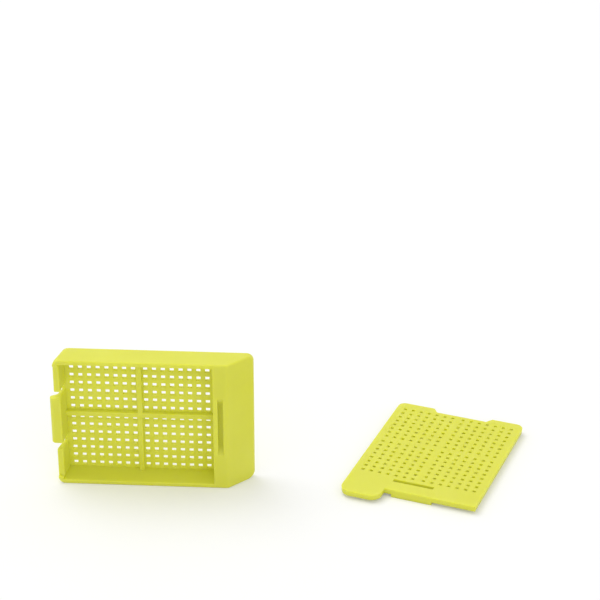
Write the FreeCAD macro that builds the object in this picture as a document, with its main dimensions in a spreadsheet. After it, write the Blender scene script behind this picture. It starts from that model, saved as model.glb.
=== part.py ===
import FreeCAD, Part
import os
import re
import Sketcher

# Tissue cassette: an open perforated base with four compartments, and its separate clip-on lid.
# The base is drawn lying on its back, then stood on one long wall with its open side forward.
# The lid is drawn lying on the floor, top side up, then turned to its place beside the base.
# Units are millimetres. The origin is the middle of the long wall that the base stands on.

DRIVING_SIZES = [
    # base, outside
    ("base_length", 40.0),          # latch end to the foot of the writing face
    ("base_width", 28.5),           # across the two long walls
    ("base_depth", 5.8),            # back of the floor to the rim
    ("writing_run", 4.9),           # length taken by the sloping writing face
    ("writing_drop", 4.9),          # depth taken by the sloping writing face
    ("writing_corner", 1.4),        # corner radius at the writing end
    ("latch_corner", 1.5),          # corner radius at the latch end
    ("end_lean", 1.05),             # the latch end leans in by this towards the back
    ("end_upright", 1.4),           # depth below the rim at which the lean starts
    # base, inside
    ("floor_thickness", 0.8),
    ("side_wall", 0.95),            # long walls at the rim
    ("side_draft", 0.4),            # long walls grow inwards by this at the floor
    ("end_wall", 1.15),             # latch end wall at the rim
    ("end_draft", 0.5),             # latch end wall reaches inwards by this at the floor
    ("land_width", 2.95),           # flat land between the compartments and the writing face
    ("land_draft", 0.4),
    ("divider_width", 1.1),
    ("divider_height", 1.0),
    # latch
    ("latch_length", 10.5),
    ("latch_gap", 1.4),             # slots that free the latch from the end wall
    ("latch_reach", 1.0),           # lip standing out past the end wall
    ("latch_ramp", 0.5),            # the lip slopes back over this at its tip
    ("latch_lip", 0.6),             # lip thickness at its tip
    ("rim_step", 0.8),              # the end wall's rim lies this far below the side rims
    # snap slot in the land
    ("slot_length", 13.2),
    ("slot_width", 1.05),
    ("slot_depth", 1.3),
    ("slot_ramp", 2.0),             # length of the ramp at each end
    ("slot_setback", 0.95),         # slot edge to the top of the writing face
    # hollow behind the writing face
    ("writing_wall", 1.0),
    ("foot_wall", 0.9),
    # perforation
    ("hole_side", 0.9),
    ("hole_pitch", 1.8),
    ("group_gap", 2.46),            # pitch across a divider
    ("first_hole", 2.95),           # latch end to the first row of holes
    ("holes_along", 8),             # per compartment, along the length
    ("holes_across", 7),            # per compartment, across the width
    # lid
    ("lid_side_gap", 0.25),         # the lid is this much narrower than the base, each side
    ("lid_shift", 0.4),             # plate and holes lie this much nearer the finger tab
    ("lid_plate", 1.2),
    ("lid_undercut", 0.12),         # the plate's edge slopes inwards by this to its underside
    ("lid_rib", 0.6),               # ribs, lips and snap lug reach this far below the plate
    ("lid_rib_wall", 0.4),
    ("lid_rib_gap", 0.1),           # ribs to the walls of the base's well
    ("lid_lip_wall", 0.5),
    ("lid_lip_gap", 0.3),           # end lips to the base's corners and latch slots
    ("lid_corner", 1.6),            # corner radius at the notched end
    ("notch_depth", 1.4),
    ("notch_clearance", 0.25),      # notch edge to the base's latch, each side
    ("notch_slope", 1.0),
    ("lid_hole_side", 0.66),
    ("lid_row_pitch", 1.75),        # pitch of the lid's holes along its length
    ("lid_group_gap", 2.3),         # pitch across the lid's two plain bands
    ("lid_first_row", 5.6),         # snap edge to the first row of holes
    ("finger_width", 8.7),
    ("finger_reach", 3.7),
    ("finger_corner", 2.4),
    ("snap_length", 8.6),
    ("snap_clearance", 0.1),        # snap lug to the walls of the base's slot
    ("groove_length", 8.6),
    ("groove_width", 0.9),
    ("groove_setback", 3.25),       # snap edge to the groove that frees the snap lug
    ("groove_shift", 0.75),         # the groove lies this much nearer the finger tab
    # the lid's place on the floor: its near left corner from the base's origin
    ("lid_place_x", 38.62),
    ("lid_place_y", -0.975),
    ("lid_turn", -18.2),            # degrees about the vertical
]
PAST = 1.0          # cutting outlines run this far past the piece
LEAST_RISE = 0.5    # an edge or face that rises less than this does not stand upright
NEAR = 0.01         # a corner this close to a plane lies on it

HALF = "( base_width / 2 )"
SLOPE_TOP = "( base_length - writing_run )"
SLOT_RIGHT = f"( {SLOPE_TOP} - slot_setback )"
LID_LEFT = "( base_width / 2 - lid_side_gap + lid_shift )"
LID_RIGHT = "( base_width / 2 - lid_side_gap - lid_shift )"
LID_LENGTH = f"( {SLOT_RIGHT} - snap_clearance + latch_reach )"


def make_sheet(doc):
    """Write the driving sizes into the spreadsheet, one alias each."""
    sheet = doc.addObject("Spreadsheet::Sheet", "Sizes")
    for row, (alias, value) in enumerate(DRIVING_SIZES, start=1):
        sheet.set(f"A{row}", alias)
        sheet.set(f"B{row}", str(value))
        sheet.setAlias(f"B{row}", alias)
    return sheet


def cell(text):
    """Turn words such as base_width / 2 into an expression on the sheet's cells."""
    aliases = {alias for alias, _ in DRIVING_SIZES}
    return re.sub(r"[a-z_]+", lambda word: f"Sizes.{word[0]}" if word[0] in aliases else word[0], text)


def new_sketch(body, name, role, raised="0"):
    """Attach a sketch to one of the body's own origin planes, raised along its normal."""
    plane = next(item for item in body.Origin.OriginFeatures if item.Role == role)
    sketch = body.newObject("Sketcher::SketchObject", name)
    sketch.AttachmentSupport = [(plane, "")]
    sketch.MapMode = "FlatFace"
    sketch.setExpression("AttachmentOffset.Base.z", cell(raised))
    return sketch


def outline(sketch, corners):
    """Draw a closed outline whose corners are held by expressions from the origin."""
    first = sketch.GeometryCount
    count = len(corners)
    texts = [cell(text) for corner in corners for text in corner]
    values = [float(sketch.evalExpression(text)) for text in texts]
    points = [FreeCAD.Vector(values[2 * index], values[2 * index + 1], 0) for index in range(count)]
    sketch.addGeometry([
        Part.LineSegment(points[index], points[(index + 1) % count]) for index in range(count)
    ])
    sketch.addConstraint([
        Sketcher.Constraint("Coincident", first + index, 2, first + (index + 1) % count, 1)
        for index in range(count)
    ])
    kinds = ("DistanceX", "DistanceY")
    numbers = sketch.addConstraint([
        Sketcher.Constraint(kinds[place % 2], -1, 1, first + place // 2, 1, values[place])
        for place in range(2 * count)
    ])
    for number, text in zip(numbers, texts):
        sketch.setExpression(f"Constraints[{number}]", text)


def box_corners(left, right, low, high):
    """Give the corners of a rectangle from an expression for each side."""
    return [(left, low), (right, low), (right, high), (left, high)]


def pad(body, sketch, name, length, both_ways=False):
    """Raise a sketch into a solid."""
    feature = body.newObject("PartDesign::Pad", name)
    feature.Profile = sketch
    feature.SideType = "Symmetric" if both_ways else "One side"
    feature.setExpression("Length", cell(length))


def pocket(body, sketch, name, length, both_ways=False):
    """Cut a sketch out of the solid, away from the side that its plane faces."""
    feature = body.newObject("PartDesign::Pocket", name)
    feature.Profile = sketch
    feature.SideType = "Symmetric" if both_ways else "One side"
    feature.setExpression("Length", cell(length))
    return feature


def round_uprights(body, name, radius, wanted):
    """Fillet the edges that rise from back to front and whose ends are both wanted."""
    body.Document.recompute()
    tip = body.Tip
    names = []
    for number, edge in enumerate(tip.Shape.Edges, start=1):
        ends = [vertex.Point for vertex in edge.Vertexes]
        rises = len(ends) == 2 and abs(ends[0].z - ends[1].z) > LEAST_RISE
        if rises and all(wanted(point) for point in ends):
            names.append(f"Edge{number}")
    feature = body.newObject("PartDesign::Fillet", name)
    feature.Base = (tip, names)
    feature.setExpression("Radius", cell(radius))


def perforate(body, sheet, top, first_row, row_pitch, gap, side, shift="0"):
    """Cut both blocks of square holes: one line across, repeated along the two blocks."""
    line = new_sketch(body, "HoleLine", "XY_Plane", top)
    for way in (-1, 1):
        for index in range(int(sheet.get("holes_across"))):
            middle = f"{shift} + {way} * ( {gap} / 2 + {index} * hole_pitch )"
            outline(line, box_corners(
                f"{first_row} - {side} / 2", f"{first_row} + {side} / 2",
                f"{middle} - {side} / 2", f"{middle} + {side} / 2",
            ))
    cut = pocket(body, line, "HoleLineCut", top)
    rows = body.newObject("PartDesign::LinearPattern", "HoleRows")
    rows.Originals = [cut]
    rows.Direction = (line, ["H_Axis"])
    rows.setExpression("Length", cell(f"( holes_along - 1 ) * {row_pitch}"))
    rows.setExpression("Occurrences", cell("holes_along"))
    rows.Direction2 = (line, ["H_Axis"])
    rows.setExpression("Length2", cell(f"( holes_along - 1 ) * {row_pitch} + {gap}"))
    rows.Occurrences2 = 2
    body.Tip = rows


def make_base(doc, sheet):
    """Build the base on its back, then stand it on one long wall."""
    body = doc.addObject("PartDesign::Body", "Base")
    body.Label = "cassette_base"
    shape_block(body, sheet)
    cut_well(body)
    add_dividers(body)
    cut_snap_slot(body)
    shape_latch(body)
    hollow_writing_end(body)
    perforate(
        body, sheet, "( floor_thickness + divider_height )",
        first_row="first_hole", row_pitch="hole_pitch", gap="group_gap", side="hole_side",
    )

    body.Placement = FreeCAD.Placement(FreeCAD.Vector(), FreeCAD.Rotation(FreeCAD.Vector(1, 0, 0), 90))
    body.setExpression("Placement.Base.x", cell("- base_length / 2"))
    body.setExpression("Placement.Base.y", cell("base_depth / 2"))
    body.setExpression("Placement.Base.z", cell("base_width / 2"))
    return body


def shape_block(body, sheet):
    """Shape the outside: rounded corners, a leaning latch end and the sloping writing face."""
    plan = new_sketch(body, "Plan", "XY_Plane")
    outline(plan, box_corners("0", "base_length", f"- {HALF}", HALF))
    pad(body, plan, "Block", "base_depth")
    far_end = sheet.get("base_length") - NEAR
    round_uprights(body, "WritingCorners", "writing_corner", lambda point: point.x > far_end)

    lean = new_sketch(body, "LeanSide", "XZ_Plane")
    outline(lean, [
        ("0", "base_depth - end_upright"),
        (f"- {PAST}", "base_depth - end_upright"),
        (f"- {PAST}", f"- {PAST}"),
        (f"end_lean * ( 1 + {PAST} / ( base_depth - end_upright ) )", f"- {PAST}"),
    ])
    pocket(body, lean, "EndLean", f"base_width + {PAST}", both_ways=True)
    near_end = sheet.get("end_lean") + NEAR
    round_uprights(body, "LatchCorners", "latch_corner", lambda point: point.x < near_end)

    slope = new_sketch(body, "WritingSide", "XZ_Plane")
    outline(slope, [
        (SLOPE_TOP, "base_depth"),
        ("base_length", "base_depth - writing_drop"),
        (f"base_length + {PAST}", "base_depth - writing_drop"),
        (f"base_length + {PAST}", f"base_depth + {PAST}"),
        (SLOPE_TOP, f"base_depth + {PAST}"),
    ])
    pocket(body, slope, "WritingFace", f"base_width + {PAST}", both_ways=True)


def cut_well(body):
    """Cut the well that the compartments share, narrower at the floor than at the rim."""
    rim = new_sketch(body, "WellMouth", "XY_Plane", "base_depth")
    outline(rim, box_corners(
        "end_wall", f"{SLOPE_TOP} - land_width", f"- {HALF} + side_wall", f"{HALF} - side_wall",
    ))
    floor = new_sketch(body, "WellFloor", "XY_Plane", "floor_thickness")
    outline(floor, box_corners(
        "end_wall + end_draft",
        f"{SLOPE_TOP} - land_width - land_draft",
        f"- {HALF} + side_wall + side_draft",
        f"{HALF} - side_wall - side_draft",
    ))
    well = body.newObject("PartDesign::SubtractiveLoft", "Well")
    well.Profile = rim
    well.Sections = [floor]
    well.Ruled = True


def add_dividers(body):
    """Raise the two low dividers that cross on the floor between the groups of holes."""
    middle = "( first_hole + ( holes_along - 1 ) * hole_pitch + group_gap / 2 )"
    across = new_sketch(body, "DividerAcross", "XY_Plane")
    outline(across, box_corners(
        f"{middle} - divider_width / 2", f"{middle} + divider_width / 2",
        f"- {HALF} + side_wall", f"{HALF} - side_wall",
    ))
    pad(body, across, "DividerAcrossWeb", "floor_thickness + divider_height")
    along = new_sketch(body, "DividerAlong", "XY_Plane")
    outline(along, box_corners(
        "end_lean + end_draft / 2", f"{SLOPE_TOP} - land_width", "- divider_width / 2", "divider_width / 2",
    ))
    pad(body, along, "DividerAlongWeb", "floor_thickness + divider_height")


def cut_snap_slot(body):
    """Cut the slot in the land that takes the lid's snap lug; its ends are ramps."""
    slot = new_sketch(body, "SnapSlot", "YZ_Plane", SLOT_RIGHT)
    bottom = "base_depth - slot_depth"
    outline(slot, [
        ("- slot_length / 2", f"base_depth + {PAST}"),
        ("- slot_length / 2", "base_depth"),
        ("slot_ramp - slot_length / 2", bottom),
        ("slot_length / 2 - slot_ramp", bottom),
        ("slot_length / 2", "base_depth"),
        ("slot_length / 2", f"base_depth + {PAST}"),
    ])
    pocket(body, slot, "SnapSlotCut", "slot_width")


def shape_latch(body):
    """Lower the end wall's rim, free the latch with two slots and give it its lip."""
    step = new_sketch(body, "RimStep", "XY_Plane", "base_depth")
    outline(step, box_corners(
        f"- {PAST}", "end_wall + end_draft", f"- {HALF} + latch_corner", f"{HALF} - latch_corner",
    ))
    pocket(body, step, "RimStepCut", "rim_step")

    slots = new_sketch(body, "LatchSlots", "XY_Plane", "base_depth")
    for side in (-1, 1):
        inner = f"{side} * latch_length / 2"
        outer = f"{side} * ( latch_length / 2 + latch_gap )"
        outline(slots, box_corners(f"- {PAST}", "end_wall + end_draft", inner, outer))
    pocket(body, slots, "LatchSlotCuts", "base_depth - floor_thickness")

    lip = new_sketch(body, "LatchLip", "XZ_Plane")
    front = "( base_depth - rim_step )"
    outline(lip, [
        ("end_wall / 2", front),
        ("latch_ramp - latch_reach", front),
        ("- latch_reach", f"{front} - latch_ramp"),
        ("- latch_reach", f"{front} - latch_ramp - latch_lip"),
        ("end_wall / 2", f"{front} - latch_ramp - latch_lip - latch_reach"),
    ])
    pad(body, lip, "LatchLipPad", "latch_length", both_ways=True)


def hollow_writing_end(body):
    """Hollow the writing end from the back, leaving an even wall behind the slope."""
    left = f"( {SLOT_RIGHT} + writing_wall )"
    right = "( base_length - foot_wall )"
    inset = "writing_wall * sqrt( 1 + ( writing_drop / writing_run ) ^ 2 )"
    left_top, right_top = (
        f"base_depth - {inset} - ( {across} - {SLOPE_TOP} ) * writing_drop / writing_run"
        for across in (left, right)
    )
    hollow = new_sketch(body, "WritingHollow", "XZ_Plane")
    outline(hollow, [(left, f"- {PAST}"), (right, f"- {PAST}"), (right, right_top), (left, left_top)])
    pocket(body, hollow, "WritingHollowCut", "base_width - 2 * foot_wall", both_ways=True)


def make_lid(doc, sheet):
    """Build the lid with its length along X from the snap edge, then turn it to its place."""
    body = doc.addObject("PartDesign::Body", "Lid")
    body.Label = "lid"
    shape_plate(body, sheet)
    slope_plate_edge(body)
    add_ribs(body)
    add_snap_lug(body)
    cut_groove(body)
    perforate(
        body, sheet, "( lid_rib + lid_plate )", first_row="lid_first_row",
        row_pitch="lid_row_pitch", gap="lid_group_gap", side="lid_hole_side", shift="lid_shift",
    )

    body.setExpression("Placement.Rotation.Angle", cell("( 90 + lid_turn ) * 1 deg"))
    body.setExpression("Placement.Base.x", cell(f"lid_place_x + {LID_LEFT} * cos( lid_turn * 1 deg )"))
    body.setExpression("Placement.Base.y", cell(f"lid_place_y + {LID_LEFT} * sin( lid_turn * 1 deg )"))
    return body


def shape_plate(body, sheet):
    """Shape the plate with its notch and finger tab."""
    notch = "( latch_length / 2 + notch_clearance )"
    finger_inner = f"{LID_LEFT} - finger_width"
    plan = new_sketch(body, "Plan", "XY_Plane", "lid_rib")
    outline(plan, [
        ("0", f"- {LID_RIGHT}"),
        (LID_LENGTH, f"- {LID_RIGHT}"),
        (LID_LENGTH, f"- {notch} - notch_slope"),
        (f"{LID_LENGTH} - notch_depth", f"- {notch}"),
        (f"{LID_LENGTH} - notch_depth", notch),
        (LID_LENGTH, f"{notch} + notch_slope"),
        (LID_LENGTH, LID_LEFT),
        ("- finger_reach", LID_LEFT),
        ("- finger_reach", finger_inner),
        ("0", finger_inner),
    ])
    pad(body, plan, "Plate", "lid_plate")

    finger_end = NEAR - sheet.get("finger_reach")
    round_uprights(body, "FingerCorners", "finger_corner", lambda point: point.x < finger_end)
    edge = sheet.get("base_width") / 2 - sheet.get("lid_side_gap") - NEAR
    shift = sheet.get("lid_shift")
    middle = sheet.get("base_length") / 2
    round_uprights(
        body, "NotchedEndCorners", "lid_corner",
        lambda point: point.x > middle and abs(point.y - shift) > edge,
    )


def slope_plate_edge(body):
    """Slope the plate's whole edge inwards, from its top face down to its underside."""
    body.Document.recompute()
    tip = body.Tip
    heights = [[vertex.Point.z for vertex in face.Vertexes] for face in tip.Shape.Faces]
    sides = [
        f"Face{number}" for number, levels in enumerate(heights, start=1)
        if max(levels) - min(levels) > LEAST_RISE
    ]
    top = 1 + max(range(len(heights)), key=lambda index: min(heights[index]))
    slope = body.newObject("PartDesign::Draft", "PlateEdge")
    slope.Base = (tip, sides)
    slope.NeutralPlane = (tip, [f"Face{top}"])
    slope.Reversed = True
    slope.setExpression("Angle", cell("atan( lid_undercut / lid_plate )"))


def add_ribs(body):
    """Add the rib that runs inside the base's well on three sides, and two lips beside the notch."""
    ribs = new_sketch(body, "RibsAndLips", "XY_Plane")
    near = "( land_width - slot_setback - snap_clearance + lid_rib_gap )"
    far = f"( {SLOT_RIGHT} - snap_clearance - end_wall - lid_rib_gap )"
    outer = f"( {HALF} - side_wall - lid_rib_gap )"
    outline(ribs, [
        (near, f"- {outer}"),
        (far, f"- {outer}"),
        (far, f"lid_rib_wall - {outer}"),
        (f"{near} + lid_rib_wall", f"lid_rib_wall - {outer}"),
        (f"{near} + lid_rib_wall", f"{outer} - lid_rib_wall"),
        (far, f"{outer} - lid_rib_wall"),
        (far, outer),
        (near, outer),
    ])
    lip = f"( {LID_LENGTH} - lid_undercut )"
    for side in (-1, 1):
        start = f"{side} * ( latch_length / 2 + latch_gap + lid_lip_gap )"
        end = f"{side} * ( {HALF} - latch_corner - lid_lip_gap )"
        outline(ribs, box_corners(f"{lip} - lid_lip_wall", lip, start, end))
    pad(body, ribs, "RibsAndLipsPad", "lid_rib")


def add_snap_lug(body):
    """Add the upright lug that snaps into the base's slot."""
    lug = new_sketch(body, "SnapLug", "XY_Plane")
    lug_wall = "slot_width - 2 * snap_clearance"
    outline(lug, box_corners("0", lug_wall, "- snap_length / 2", "snap_length / 2"))
    pad(body, lug, "SnapLugPad", "lid_rib + lid_plate")


def cut_groove(body):
    """Cut the groove that lets the snap edge spring."""
    groove = new_sketch(body, "Groove", "XY_Plane", "lid_rib + lid_plate")
    outline(groove, box_corners(
        "groove_setback", "groove_setback + groove_width",
        "groove_shift - groove_length / 2", "groove_shift + groove_length / 2",
    ))
    pocket(body, groove, "GrooveCut", "lid_rib + lid_plate")


def check_and_write(doc, bodies):
    """Stop on any failed object or faulty shape, then write one file for each piece."""
    failed = [item.Name for item in doc.Objects if {"Invalid", "Error"} & set(item.State)]
    if failed:
        raise RuntimeError(f"failed objects: {failed}")
    for body in bodies:
        if body.Shape.isNull() or not body.Shape.isValid() or len(body.Shape.Solids) != 1:
            raise RuntimeError(f"{body.Label} is not one valid solid")
    os.makedirs("parts", exist_ok=True)
    for body in bodies:
        body.Shape.exportStep(f"parts/{body.Label}.step")
        print(body.Label, round(body.Shape.Volume, 1), body.Shape.BoundBox)


def main():
    """Build both pieces and write them."""
    doc = FreeCAD.newDocument("TissueCassette")
    sheet = make_sheet(doc)
    doc.recompute()
    bodies = [make_base(doc, sheet), make_lid(doc, sheet)]
    doc.recompute()
    check_and_write(doc, bodies)


main()
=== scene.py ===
"""Tissue cassette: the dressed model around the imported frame.

The base stands on one long wall with its open side forward, and the clip-on lid lies beside it.
Both are single mouldings in satin yellow acetal, so each piece starts as a copy of its CAD solid
and gets the edge radii and the finish that the real moulding has.
"""
from __future__ import annotations

import logging
import math
from dataclasses import dataclass, field
from enum import Enum

import bmesh
import bpy
from mathutils import Matrix, Vector

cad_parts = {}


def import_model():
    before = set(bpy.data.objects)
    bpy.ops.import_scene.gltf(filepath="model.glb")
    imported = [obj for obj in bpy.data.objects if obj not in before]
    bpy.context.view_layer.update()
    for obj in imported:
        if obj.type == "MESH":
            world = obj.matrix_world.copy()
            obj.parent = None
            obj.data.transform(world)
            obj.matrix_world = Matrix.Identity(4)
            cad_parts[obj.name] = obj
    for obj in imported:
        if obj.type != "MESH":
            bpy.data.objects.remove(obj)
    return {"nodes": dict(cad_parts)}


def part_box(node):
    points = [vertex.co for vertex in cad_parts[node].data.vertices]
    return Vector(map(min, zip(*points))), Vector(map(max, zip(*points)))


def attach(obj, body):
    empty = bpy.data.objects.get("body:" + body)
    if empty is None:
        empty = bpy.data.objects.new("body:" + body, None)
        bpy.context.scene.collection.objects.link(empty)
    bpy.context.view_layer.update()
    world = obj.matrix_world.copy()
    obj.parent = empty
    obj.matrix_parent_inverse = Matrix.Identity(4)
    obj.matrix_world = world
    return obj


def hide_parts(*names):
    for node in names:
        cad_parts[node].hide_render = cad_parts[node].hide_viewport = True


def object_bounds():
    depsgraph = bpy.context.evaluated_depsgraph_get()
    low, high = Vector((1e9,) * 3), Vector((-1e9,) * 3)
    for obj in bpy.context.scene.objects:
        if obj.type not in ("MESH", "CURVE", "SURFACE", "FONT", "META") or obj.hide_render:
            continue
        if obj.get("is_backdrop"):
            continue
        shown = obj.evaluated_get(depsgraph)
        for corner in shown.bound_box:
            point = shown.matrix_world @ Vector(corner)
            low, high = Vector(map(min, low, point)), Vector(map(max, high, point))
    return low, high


MM = 0.001
LOG = logging.getLogger("tissue_cassette")
MERGE = 0.001                   # points this close, in millimetres, are one point
SHORTEST = 0.012                # an edge shorter than this, in millimetres, is closed up
NEAR = 0.02                     # places this close, in millimetres, are one place
SHARP = math.radians(24)        # faces that meet at more than this make a sharp edge
FLAT = math.radians(0.4)        # faces that meet at less than this are one flat face
SMOOTH = math.radians(38)       # faces that meet at less than this are shaded as one surface
FIELD_MARGIN = 0.3              # plain band, in millimetres, kept regular around the holes


class Radius(Enum):
    """Edge radii of the two mouldings, in millimetres."""

    OUTSIDE = 0.34
    WRITING = 0.40
    BACK = 0.20
    MOUTH = 0.16
    RIB = 0.22
    SLOT = 0.10
    HOLE = 0.07
    LATCH = 0.20
    LID_TOP = 0.14


@dataclass(frozen=True)
class AcetalFinish:
    """Satin moulded acetal: a little light passes through it, and its skin is finely grained."""

    name: str
    colour: tuple[float, float, float]
    deep_colour: tuple[float, float, float]
    roughness: float = 0.46
    subsurface: float = 1.0
    scatter_mm: float = 0.7
    scatter_by_colour: tuple[float, float, float] = (1.0, 1.0, 0.22)
    refraction: float = 1.48
    shine: float = 0.42
    cloud_mm: float = 14.0
    wave_mm: float = 6.0
    wave_relief_mm: float = 0.05
    wave_strength: float = 0.25
    grain_mm: float = 0.16
    grain_relief_mm: float = 0.02
    grain_strength: float = 0.10
    duller: float = 0.09
    glossier: float = 0.07

    def build(self) -> bpy.types.Material:
        """Build the material.

        Returns:
            The new material, with its pattern on Object coordinates.
        """
        material = bpy.data.materials.new(self.name)
        material.use_nodes = True
        tree = material.node_tree
        tree.nodes.clear()
        output = tree.nodes.new("ShaderNodeOutputMaterial")
        shader = tree.nodes.new("ShaderNodeBsdfPrincipled")
        tree.links.new(shader.outputs["BSDF"], output.inputs["Surface"])
        place = tree.nodes.new("ShaderNodeTexCoord")
        self._colour(tree, place, shader)
        self._skin(tree, place, shader)
        shader.inputs["IOR"].default_value = self.refraction
        shader.inputs["Specular IOR Level"].default_value = self.shine
        shader.inputs["Subsurface Weight"].default_value = self.subsurface
        shader.inputs["Subsurface Radius"].default_value = self.scatter_by_colour
        shader.inputs["Subsurface Scale"].default_value = self.scatter_mm * MM
        return material

    def _colour(self, tree: bpy.types.NodeTree, place: bpy.types.Node, shader: bpy.types.Node) -> None:
        """Mix the two shades of the plastic in soft, wide clouds.

        Args:
            tree: The material's node tree.
            place: The texture coordinate node.
            shader: The shader whose base colour is set.
        """
        clouds = tree.nodes.new("ShaderNodeTexNoise")
        clouds.inputs["Scale"].default_value = 1.0 / (self.cloud_mm * MM)
        clouds.inputs["Detail"].default_value = 4.0
        clouds.inputs["Roughness"].default_value = 0.55
        shades = tree.nodes.new("ShaderNodeValToRGB")
        shades.color_ramp.elements[0].position = 0.30
        shades.color_ramp.elements[0].color = (*self.deep_colour, 1.0)
        shades.color_ramp.elements[1].position = 0.70
        shades.color_ramp.elements[1].color = (*self.colour, 1.0)
        tree.links.new(place.outputs["Object"], clouds.inputs["Vector"])
        tree.links.new(clouds.outputs["Fac"], shades.inputs["Fac"])
        tree.links.new(shades.outputs["Color"], shader.inputs["Base Color"])

    def _skin(self, tree: bpy.types.NodeTree, place: bpy.types.Node, shader: bpy.types.Node) -> None:
        """Give the skin its spark-eroded grain and the faint waviness of a cooled moulding.

        Args:
            tree: The material's node tree.
            place: The texture coordinate node.
            shader: The shader whose roughness and normal are set.
        """
        grain = tree.nodes.new("ShaderNodeTexNoise")
        grain.inputs["Scale"].default_value = 1.0 / (self.grain_mm * MM)
        grain.inputs["Detail"].default_value = 3.0
        waves = tree.nodes.new("ShaderNodeTexNoise")
        waves.inputs["Scale"].default_value = 1.0 / (self.wave_mm * MM)
        waves.inputs["Detail"].default_value = 2.0
        for texture in (grain, waves):
            tree.links.new(place.outputs["Object"], texture.inputs["Vector"])
        polish = tree.nodes.new("ShaderNodeMapRange")
        polish.inputs["To Min"].default_value = self.roughness - self.glossier
        polish.inputs["To Max"].default_value = self.roughness + self.duller
        tree.links.new(waves.outputs["Fac"], polish.inputs["Value"])
        tree.links.new(polish.outputs["Result"], shader.inputs["Roughness"])
        broad = tree.nodes.new("ShaderNodeBump")
        broad.inputs["Strength"].default_value = self.wave_strength
        broad.inputs["Distance"].default_value = self.wave_relief_mm * MM
        fine = tree.nodes.new("ShaderNodeBump")
        fine.inputs["Strength"].default_value = self.grain_strength
        fine.inputs["Distance"].default_value = self.grain_relief_mm * MM
        tree.links.new(waves.outputs["Fac"], broad.inputs["Height"])
        tree.links.new(grain.outputs["Fac"], fine.inputs["Height"])
        tree.links.new(broad.outputs["Normal"], fine.inputs["Normal"])
        tree.links.new(fine.outputs["Normal"], shader.inputs["Normal"])


@dataclass(frozen=True)
class HoleField:
    """Two blocks of square holes each way, as on both mouldings; sizes in millimetres."""

    first_row: float
    row_pitch: float
    column_pitch: float
    gap: float
    side: float
    middle: float
    rows: int = 8
    columns: int = 7

    def row_places(self) -> list[float]:
        """Give the middle of each row along the length."""
        second = self.first_row + (self.rows - 1) * self.row_pitch + self.gap
        starts = (self.first_row, second)
        return [start + index * self.row_pitch for start in starts for index in range(self.rows)]

    def column_places(self) -> list[float]:
        """Give the middle of each column across the width."""
        reach = [self.gap / 2 + index * self.column_pitch for index in range(self.columns)]
        return sorted(self.middle + way * place for way in (-1, 1) for place in reach)

    def edges(self, places: list[float]) -> list[float]:
        """Give the two edges of the holes at each place."""
        return [place + way * self.side / 2 for place in places for way in (-1, 1)]

    def spans(self, margin: float) -> tuple[tuple[float, float], tuple[float, float]]:
        """Give how far the holes run along the length and across the width, with a margin."""
        rows, columns = self.edges(self.row_places()), self.edges(self.column_places())
        return (min(rows) - margin, max(rows) + margin), (min(columns) - margin, max(columns) + margin)

    def covers(self, point: Vector) -> bool:
        """Tell whether a point lies among the holes."""
        (start, end), (low, high) = self.spans(NEAR)
        return start < point.x < end and low < point.y < high


@dataclass(frozen=True)
class Score:
    """A line cut across flat faces so that they stay regular: where it lies and how far it runs."""

    axis: int
    place: float
    low: float = -100.0
    high: float = 100.0


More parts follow.
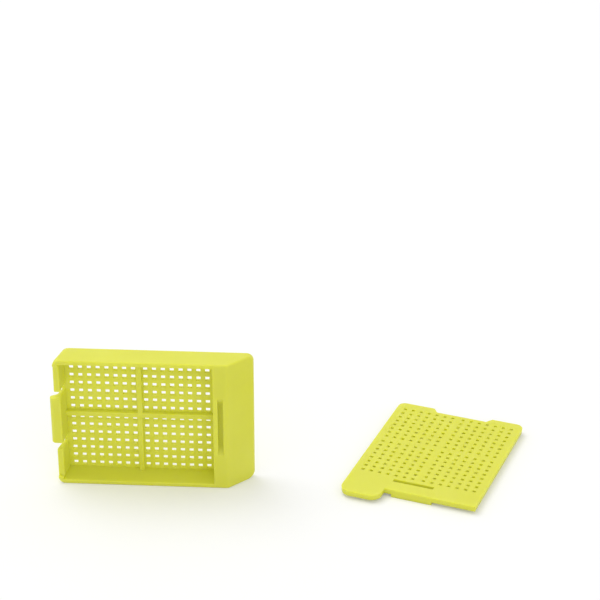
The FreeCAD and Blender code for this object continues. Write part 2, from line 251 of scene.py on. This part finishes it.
@dataclass
class Moulding:
    """One moulded piece, made from a copy of its CAD solid and worked on while it lies flat."""

    node: str
    piece_name: str
    body: str
    finish: bpy.types.Material
    nodes: dict[str, bpy.types.Object]
    holes: HoleField
    widest: float = max(radius.value for radius in Radius)
    piece: bpy.types.Object | None = field(default=None, init=False)

    def build(self) -> bpy.types.Object:
        """Make the piece, round its edges, give it its finish and hang it on its body.

        Returns:
            The finished piece.
        """
        self.piece = self._copy_of_node()
        lying = self.lying()
        self.piece.data.transform(lying.inverted())
        self._clean_faces()
        self._weigh_edges()
        self._round_edges()
        self.piece.data.transform(lying)
        self._shade()
        self.piece.data.materials.clear()
        self.piece.data.materials.append(self.finish)
        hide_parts(self.node)
        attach(self.piece, self.body)
        LOG.info("%s: %d faces", self.piece_name, len(self.piece.data.polygons))
        return self.piece

    def lying(self) -> Matrix:
        """Give the place of the flat-lying piece, in millimetres, in the row frame."""
        raise NotImplementedError

    def scores(self) -> list[Score]:
        """List the lines that keep the flat faces regular."""
        raise NotImplementedError

    def hole_scores(self) -> tuple[list[Score], tuple[float, float]]:
        """Score the faces along every row and column of holes and around the whole field.

        Returns:
            The lines, and how far the field runs along the length.
        """
        length_run, width_run = self.holes.spans(FIELD_MARGIN)
        lines = [Score(0, place, *width_run) for place in self.holes.edges(self.holes.row_places())]
        lines += [Score(1, place, *length_run) for place in self.holes.edges(self.holes.column_places())]
        lines += [Score(0, place) for place in length_run]
        lines += [Score(1, place, *length_run) for place in width_run]
        return lines, length_run

    def radius_of(self, edge: bmesh.types.BMEdge) -> float:
        """Choose the radius of a sharp edge, in millimetres."""
        raise NotImplementedError

    def _copy_of_node(self) -> bpy.types.Object:
        """Copy the CAD solid.

        Returns:
            A new object, at the origin, with its place in its mesh.
        """
        piece = bpy.data.objects.new(self.piece_name, self.nodes[self.node].data.copy())
        piece.data.name = self.piece_name
        bpy.context.scene.collection.objects.link(piece)
        bpy.ops.object.select_all(action="DESELECT")
        piece.select_set(True)
        bpy.context.view_layer.objects.active = piece
        bpy.ops.mesh.customdata_custom_splitnormals_clear()
        return piece

    def _clean_faces(self) -> None:
        """Merge the solid's loose triangles and turn them into whole, regular flat faces."""
        bpy.ops.object.mode_set(mode="EDIT")
        bpy.ops.mesh.select_all(action="SELECT")
        bpy.ops.mesh.remove_doubles(threshold=MERGE)
        for score in self.scores():
            self._cut(score)
        bpy.ops.mesh.select_all(action="SELECT")
        bpy.ops.mesh.dissolve_limited(angle_limit=FLAT, delimit={"NORMAL", "SEAM"})
        bpy.ops.mesh.select_all(action="SELECT")
        bpy.ops.mesh.remove_doubles(threshold=SHORTEST)
        bpy.ops.mesh.select_all(action="SELECT")
        bpy.ops.mesh.mark_seam(clear=True)
        bpy.ops.object.mode_set(mode="OBJECT")

    def _cut(self, score: Score) -> None:
        """Cut the whole mesh along a plane and keep the stretch of the cut that the score asks for.

        Args:
            score: The line to keep.
        """
        place, normal = Vector(), Vector()
        place[score.axis] = score.place
        normal[score.axis] = 1.0
        bpy.ops.mesh.select_all(action="SELECT")
        bpy.ops.mesh.bisect(plane_co=place, plane_no=normal, threshold=MERGE)
        mesh = bmesh.from_edit_mesh(self.piece.data)
        across = 1 - score.axis
        for edge in mesh.edges:
            if edge.select:
                middle = (edge.verts[0].co + edge.verts[1].co) / 2
                edge.seam = edge.seam or score.low < middle[across] < score.high
        bmesh.update_edit_mesh(self.piece.data)

    def _weigh_edges(self) -> None:
        """Give each sharp edge a bevel weight in proportion to its radius."""
        bpy.ops.object.mode_set(mode="EDIT")
        mesh = bmesh.from_edit_mesh(self.piece.data)
        weights = mesh.edges.layers.float.get("bevel_weight_edge")
        if weights is None:
            weights = mesh.edges.layers.float.new("bevel_weight_edge")
        for edge in mesh.edges:
            sharp = len(edge.link_faces) == 2 and edge.calc_face_angle(0.0) > SHARP
            edge[weights] = self.radius_of(edge) / self.widest if sharp and edge.is_convex else 0.0
        bmesh.update_edit_mesh(self.piece.data)
        bpy.ops.object.mode_set(mode="OBJECT")

    def _round_edges(self) -> None:
        """Round the weighted edges."""
        rounding = self.piece.modifiers.new("rounding", "BEVEL")
        rounding.limit_method = "WEIGHT"
        rounding.offset_type = "OFFSET"
        rounding.width = self.widest
        rounding.segments = 3
        rounding.profile = 0.5
        rounding.use_clamp_overlap = False
        rounding.loop_slide = True
        bpy.ops.object.modifier_apply(modifier=rounding.name)

    def _shade(self) -> None:
        """Shade the rounded edges smooth and keep the flats flat."""
        bpy.ops.object.select_all(action="DESELECT")
        self.piece.select_set(True)
        bpy.context.view_layer.objects.active = self.piece
        bpy.ops.object.shade_smooth_by_angle(angle=SMOOTH)
        normals = self.piece.modifiers.new("flat_faces", "WEIGHTED_NORMAL")
        normals.keep_sharp = True
        normals.weight = 100
        bpy.ops.object.modifier_apply(modifier=normals.name)


@dataclass
class CassetteBase(Moulding):
    """The perforated base, standing on its long wall; sizes in millimetres as it lies on its back."""

    length: float = 40.0
    width: float = 28.5
    depth: float = 5.8
    floor: float = 0.8
    divider_top: float = 1.8
    slope_top: float = 35.1
    land: float = 32.15
    slot_ends: tuple[float, float] = (7.65, 20.85)
    hollow: tuple[float, float] = (35.15, 39.1)
    foot_wall: float = 0.9
    end_strip: float = 3.0
    mouth_reach: float = 0.3

    def lying(self) -> Matrix:
        """Stand the piece up: its depth runs forward and its width runs up."""
        low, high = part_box(self.node)
        corner = Vector((high.x - self.length * MM, high.y, low.z))
        return Matrix.Translation(corner) @ Matrix.Rotation(math.radians(90), 4, "X") @ Matrix.Scale(MM, 4)

    def scores(self) -> list[Score]:
        """Score the perforated floor between its holes, and the land at the slot's ends."""
        lines, length_run = self.hole_scores()
        lines += [Score(0, self.land)]
        lines += [Score(1, place, self.land, self.slope_top) for place in self.slot_ends]
        strips = (self.end_strip, self.width - self.end_strip)
        lines += [Score(1, place, length_run[1], self.length) for place in strips]
        return lines

    def radius_of(self, edge: bmesh.types.BMEdge) -> float:
        """Choose an edge's radius by where it lies on the base.

        Args:
            edge: A sharp edge of the base.

        Returns:
            The radius in millimetres, or zero for an edge that stays as it is.
        """
        first, second = (vertex.co for vertex in edge.verts)
        middle = (first + second) / 2
        level = abs(first.z - second.z) < NEAR
        if self.holes.covers(middle) and middle.z < self.floor + NEAR:
            return Radius.HOLE.value if level else 0.0
        if level and abs(middle.z - self.divider_top) < NEAR:
            return Radius.RIB.value
        if level and middle.z < NEAR:
            return Radius.SLOT.value if self._in_hollow(middle) else Radius.BACK.value
        if middle.x > self.slope_top - NEAR:
            return Radius.WRITING.value
        if level and abs(middle.z - self.depth) < NEAR:
            return self._rim_radius(edge, middle)
        return Radius.LATCH.value

    def _in_hollow(self, point: Vector) -> bool:
        """Tell whether a point lies on the mouth of the hollow behind the writing face."""
        along = self.hollow[0] - NEAR < point.x < self.hollow[1] + NEAR
        return along and self.foot_wall - NEAR < point.y < self.width - self.foot_wall + NEAR

    def _rim_radius(self, edge: bmesh.types.BMEdge, point: Vector) -> float:
        """Choose between the radii of the rim's outside, its mouth and the slot in its land."""
        away = point - Vector((self.length / 2, self.width / 2, point.z))
        side = min((face.normal for face in edge.link_faces), key=lambda normal: normal.z)
        if side.dot(away) > 0:
            return Radius.OUTSIDE.value
        return Radius.SLOT.value if point.x > self.land + self.mouth_reach else Radius.MOUTH.value


@dataclass
class CassetteLid(Moulding):
    """The clip-on lid; sizes in millimetres with its length along X from the snap edge."""

    length: float = 35.05
    right: float = 13.6
    top: float = 1.8
    turn: float = 71.8
    groove_ends: tuple[float, float] = (-3.55, 5.05)

    def lying(self) -> Matrix:
        """Turn the piece to its place on the floor, found from how far its solid reaches."""
        turned = Matrix.Rotation(math.radians(self.turn), 4, "Z")
        back = turned.inverted().to_3x3()
        points = [back @ vertex.co for vertex in self.nodes[self.node].data.vertices]
        far = max(point.x for point in points)
        side = min(point.y for point in points)
        start = Vector((far - self.length * MM, side + self.right * MM, 0.0))
        return turned @ Matrix.Translation(start) @ Matrix.Scale(MM, 4)

    def scores(self) -> list[Score]:
        """Score the perforated plate between its holes, and the snap edge at the groove's ends."""
        lines, length_run = self.hole_scores()
        lines += [Score(1, place, -1.0, length_run[0]) for place in self.groove_ends]
        return lines

    def radius_of(self, edge: bmesh.types.BMEdge) -> float:
        """Choose an edge's radius by its level on the lid.

        Args:
            edge: A sharp edge of the lid.

        Returns:
            The radius in millimetres, or zero for an edge that stays as it is.
        """
        first, second = (vertex.co for vertex in edge.verts)
        if abs(first.z - second.z) > NEAR:
            return 0.0
        if self.holes.covers((first + second) / 2):
            return Radius.HOLE.value
        if abs(first.z - self.top) < NEAR:
            return Radius.LID_TOP.value
        return Radius.SLOT.value if first.z < NEAR else 0.0


@dataclass(frozen=True)
class CameraView:
    """The camera: where it stands, in millimetres, how it is turned, in degrees, and its lens."""

    place: tuple[float, float, float] = (51.10, -353.53, 217.81)
    pitch_down: float = 26.39
    turn: float = 3.497
    lens: float = 121.0

    def build(self) -> bpy.types.Object:
        """Add the camera to the scene.

        Returns:
            The camera's object.
        """
        data = bpy.data.cameras.new("camera")
        data.lens = self.lens
        data.sensor_width = 36.0
        data.clip_start = 0.01
        camera = bpy.data.objects.new("camera", data)
        camera.location = Vector(self.place) * MM
        camera.rotation_euler = (math.radians(90.0 - self.pitch_down), 0.0, math.radians(self.turn))
        bpy.context.scene.collection.objects.link(camera)
        bpy.context.scene.camera = camera
        return camera


@dataclass(frozen=True)
class SoftLamp:
    """A square soft box that looks at the middle of the object."""

    name: str
    azimuth: float
    elevation: float
    distance: float
    side: float
    power: float

    def build(self, target: Vector) -> bpy.types.Object:
        """Add the lamp.

        Args:
            target: The point that the lamp looks at.

        Returns:
            The lamp's object.
        """
        data = bpy.data.lights.new(self.name, "AREA")
        data.shape = "SQUARE"
        data.size = self.side
        data.energy = self.power
        lamp = bpy.data.objects.new(self.name, data)
        across = math.cos(math.radians(self.elevation))
        direction = Vector((
            across * math.sin(math.radians(self.azimuth)),
            -across * math.cos(math.radians(self.azimuth)),
            math.sin(math.radians(self.elevation)),
        ))
        lamp.location = target + direction * self.distance
        lamp.rotation_euler = direction.to_track_quat("Z", "Y").to_euler()
        bpy.context.scene.collection.objects.link(lamp)
        return lamp


@dataclass
class Studio:
    """A white table under soft light."""

    reach: float = 6.0
    floor_white: float = 0.86
    lift: float = 0.17
    sky: float = 0.87
    lamps: tuple[SoftLamp, ...] = (
        SoftLamp("lamp_overhead", -125.0, 64.0, 1.2, 0.8, 4.6),
        SoftLamp("lamp_front", 20.0, 28.0, 1.3, 0.9, 1.7),
    )

    def build(self, target: Vector) -> None:
        """Lay the floor, hang the lamps and light the sky.

        Args:
            target: The middle of the object.
        """
        self._floor()
        for lamp in self.lamps:
            lamp.build(target)
        self._sky()
        bpy.context.scene.view_settings.view_transform = "Standard"

    def _floor(self) -> None:
        """Lay the white floor; it looks a little lighter to the camera than it lights the object."""
        bpy.ops.object.select_all(action="DESELECT")
        bpy.ops.mesh.primitive_plane_add(size=self.reach, location=(0.0, 0.0, 0.0))
        floor = bpy.context.active_object
        floor.name = "floor"
        material = bpy.data.materials.new("white_floor")
        material.use_nodes = True
        tree = material.node_tree
        tree.nodes.clear()
        output = tree.nodes.new("ShaderNodeOutputMaterial")
        paint = tree.nodes.new("ShaderNodeBsdfDiffuse")
        paint.inputs["Color"].default_value = (self.floor_white, self.floor_white, self.floor_white, 1.0)
        glow = tree.nodes.new("ShaderNodeEmission")
        rays = tree.nodes.new("ShaderNodeLightPath")
        seen = tree.nodes.new("ShaderNodeMath")
        seen.operation = "MAXIMUM"
        strength = tree.nodes.new("ShaderNodeMath")
        strength.operation = "MULTIPLY"
        strength.inputs[1].default_value = self.lift
        both = tree.nodes.new("ShaderNodeAddShader")
        tree.links.new(rays.outputs["Is Camera Ray"], seen.inputs[0])
        tree.links.new(rays.outputs["Is Glossy Ray"], seen.inputs[1])
        tree.links.new(seen.outputs["Value"], strength.inputs[0])
        tree.links.new(strength.outputs["Value"], glow.inputs["Strength"])
        tree.links.new(paint.outputs["BSDF"], both.inputs[0])
        tree.links.new(glow.outputs["Emission"], both.inputs[1])
        tree.links.new(both.outputs["Shader"], output.inputs["Surface"])
        floor.data.materials.append(material)
        floor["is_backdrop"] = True

    def _sky(self) -> None:
        """Fill the room with even light; what the camera sees past the floor is plain white."""
        world = bpy.data.worlds.new("room")
        world.use_nodes = True
        tree = world.node_tree
        tree.nodes.clear()
        output = tree.nodes.new("ShaderNodeOutputWorld")
        sky = tree.nodes.new("ShaderNodeBackground")
        rays = tree.nodes.new("ShaderNodeLightPath")
        level = tree.nodes.new("ShaderNodeMapRange")
        level.inputs["To Min"].default_value = self.sky
        level.inputs["To Max"].default_value = 1.0
        tree.links.new(rays.outputs["Is Camera Ray"], level.inputs["Value"])
        tree.links.new(level.outputs["Result"], sky.inputs["Strength"])
        tree.links.new(sky.outputs["Background"], output.inputs["Surface"])
        bpy.context.scene.world = world


def main() -> None:
    """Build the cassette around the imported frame."""
    logging.basicConfig(level=logging.INFO, format="%(name)s: %(message)s")
    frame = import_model()
    cad_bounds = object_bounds()
    acetal = AcetalFinish("yellow_acetal", (0.80, 0.81, 0.095), (0.77, 0.775, 0.078)).build()
    base_holes = HoleField(first_row=2.95, row_pitch=1.8, column_pitch=1.8, gap=2.46, side=0.9, middle=14.25)
    lid_holes = HoleField(first_row=5.6, row_pitch=1.75, column_pitch=1.8, gap=2.3, side=0.66, middle=0.4)
    CassetteBase("cassette_base", "base_moulding", "base", acetal, frame["nodes"], base_holes).build()
    CassetteLid("lid", "lid_moulding", "lid", acetal, frame["nodes"], lid_holes).build()
    middle = (Vector(cad_bounds[0]) + Vector(cad_bounds[1])) / 2
    Studio().build(middle)
    CameraView().build()


if __name__ == "__main__":
    main()
